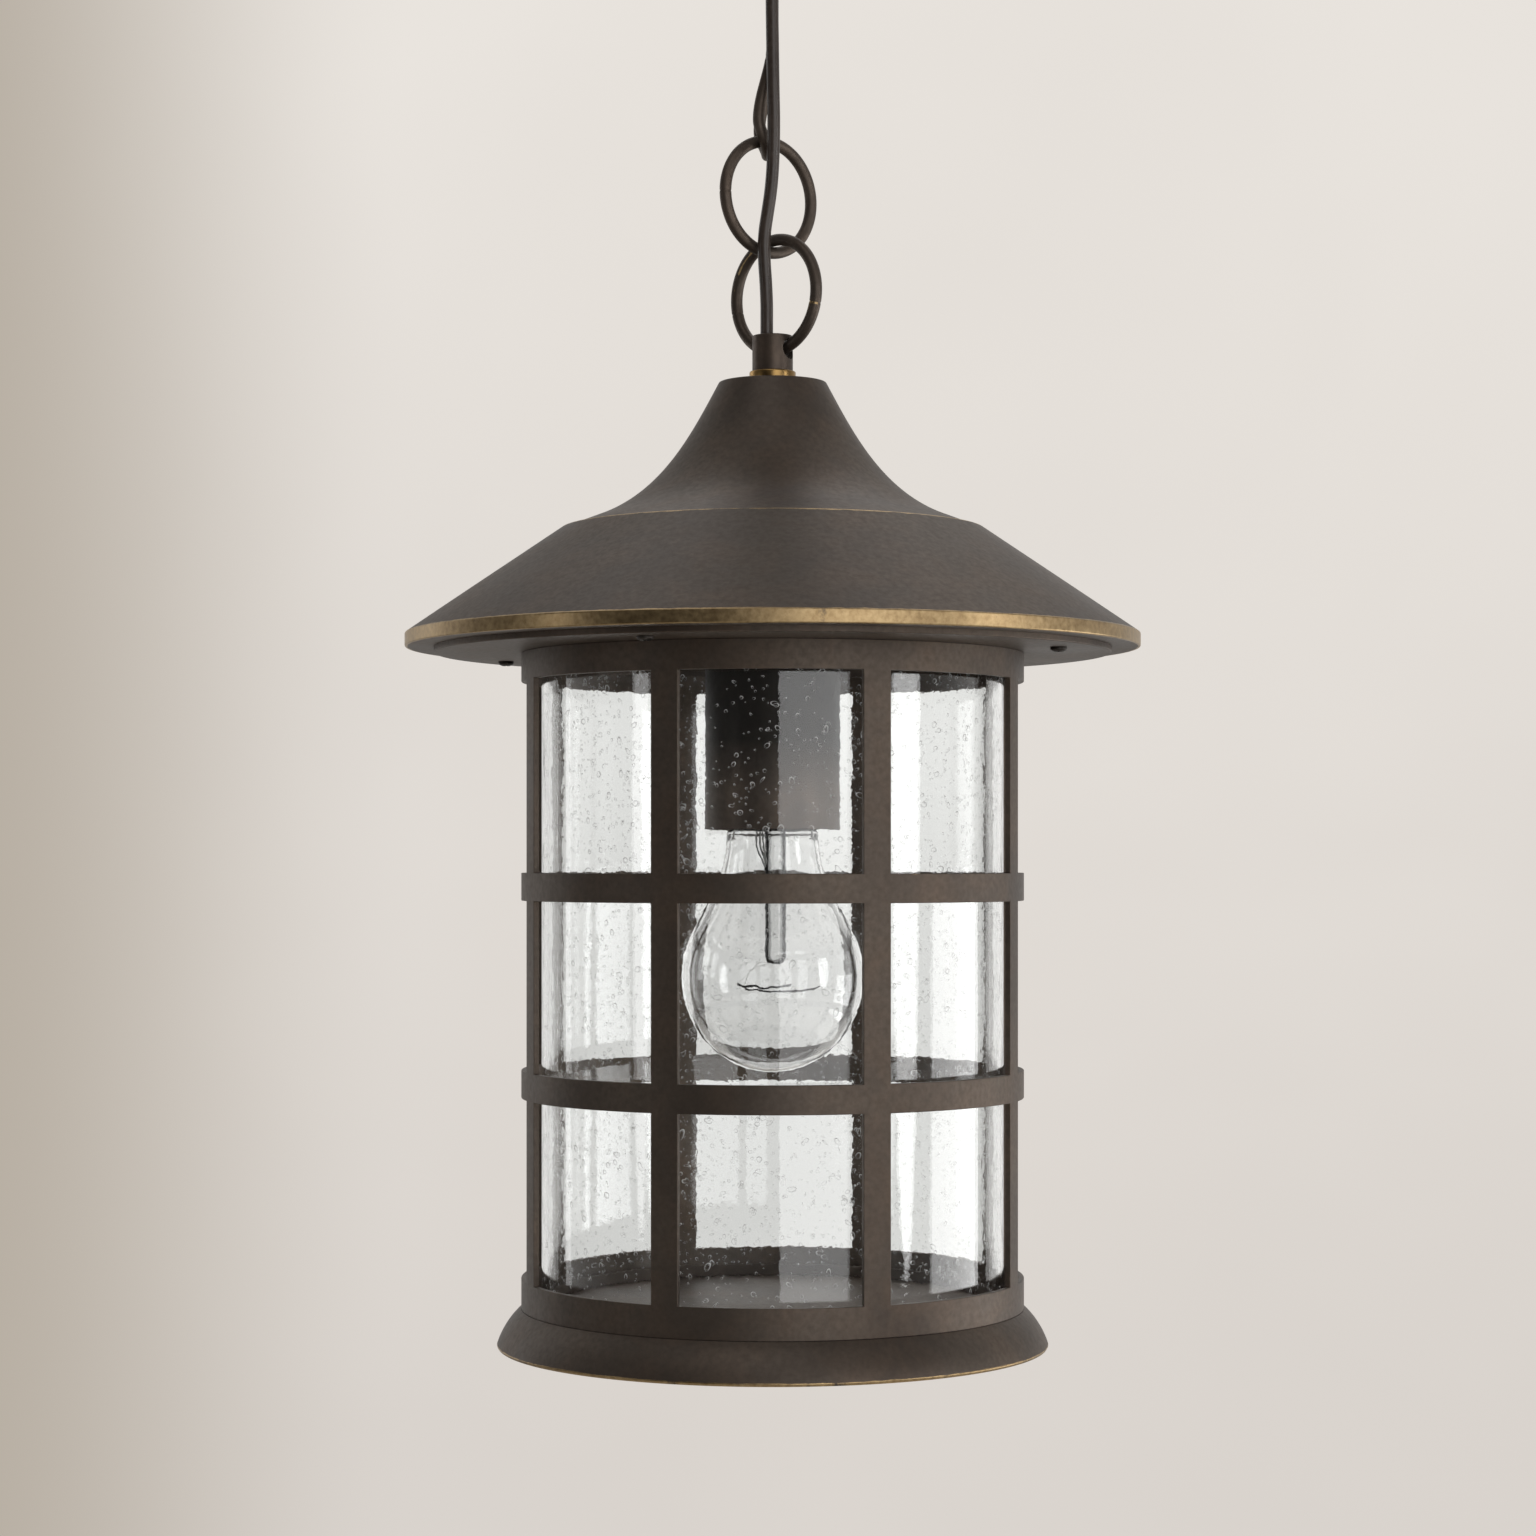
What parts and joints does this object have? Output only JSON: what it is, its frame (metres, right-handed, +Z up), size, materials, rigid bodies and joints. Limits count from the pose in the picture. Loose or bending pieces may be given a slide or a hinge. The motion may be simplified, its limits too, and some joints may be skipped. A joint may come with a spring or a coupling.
{
  "type": "outdoor hanging lantern",
  "caption": "Outdoor hanging lantern: ceiling canopy, short chain with cord, bell-topped round roof, caged clear glass cylinder with a bulb, and flared base.",
  "frame": {"origin": "centre of the ceiling plane that the canopy and its strap are fastened to; the lantern hangs below it", "axes": "+Z up through the ceiling, -Y is the pictured front, +X to the right"},
  "size_m": [0.254, 0.254, 0.5274],
  "materials": {
    "bronze": "dark mottled bronze, satin, with gold-rubbed edges",
    "brass": "satin",
    "steel": "zinc plated",
    "black_screw": "satin black",
    "earth_green": "gloss",
    "rubber": "matte",
    "cord_jacket": "matte black",
    "core_wires": "bare copper",
    "ceramic": "unglazed",
    "seeded_glass": "clear with seeds",
    "bulb_glass": "clear",
    "bulb_cap": "nickel plated",
    "insulator": "black glass",
    "filament": "dark tungsten"
  },
  "bodies": {
    "canopy": {"mounting_strap": "steel", "earth_screw": "earth_green", "canopy_stem": "steel", "strap_nut": "steel", "canopy_dish": "bronze", "canopy_loop": "bronze", "canopy_bushing": "rubber", "cord_cores": "core_wires", "supply_cord": "cord_jacket"},
    "link": {"long_link": "bronze"},
    "ring_upper": {"upper_ring": "bronze"},
    "ring_lower": {"lower_ring": "bronze"},
    "lantern": {"hub": "bronze", "roof_bell": "bronze", "roof_brim": "bronze", "soffit_plate": "bronze", "holder_cup": "bronze", "cage": "bronze", "floor_plate": "bronze", "base_flare": "bronze", "bell_washer": "steel", "bell_nut": "steel", "roof_stem": "steel", "roof_crossbar": "steel", "crossbar_nut": "steel", "roof_screw_nuts": "steel", "cup_nuts": "steel", "base_screws": "steel", "seat_ring": "brass", "holder_shell": "brass", "holder_contact": "brass", "terminal_screws": "brass", "inner_cord": "cord_jacket", "roof_screws": "black_screw", "holder_body": "ceramic", "top_gasket": "rubber", "bottom_gasket": "rubber", "glass_cylinder": "seeded_glass"},
    "bulb": {"bulb_glass": "bulb_glass", "bulb_cap": "bulb_cap", "bulb_insulator": "insulator", "bulb_contact": "brass", "bulb_stem": "bulb_glass", "bulb_wires": "bulb_cap", "bulb_filament": "filament"}
  },
  "joints": [
    {"name": "link_swing", "type": "hinge", "parent": "canopy", "child": "link", "pos_m": [0, 0, -0.057], "axis": [1, 0, 0], "range_deg": [-25, 25], "deforming": ["supply_cord"]},
    {"name": "upper_ring_swing", "type": "hinge", "parent": "link", "child": "ring_upper", "pos_m": [-0.0019, 0, -0.11465], "axis": [0, 1, 0], "range_deg": [-25, 25], "deforming": ["supply_cord"]},
    {"name": "lower_ring_swing", "type": "hinge", "parent": "ring_upper", "child": "ring_lower", "pos_m": [0.00032, 0.00204, -0.14855], "axis": [-0.766, -0.6428, 0], "range_deg": [-25, 25], "deforming": ["supply_cord"]},
    {"name": "lantern_swing", "type": "hinge", "parent": "ring_lower", "child": "lantern", "pos_m": [0.00117, 0.00123, -0.18245], "axis": [0.723, -0.6909, 0], "range_deg": [-25, 25], "deforming": ["supply_cord"]},
    {"name": "bulb_out", "type": "slide", "parent": "lantern", "child": "bulb", "axis": [0, 0, -1], "range_m": [0, 0.03]}
  ]
}
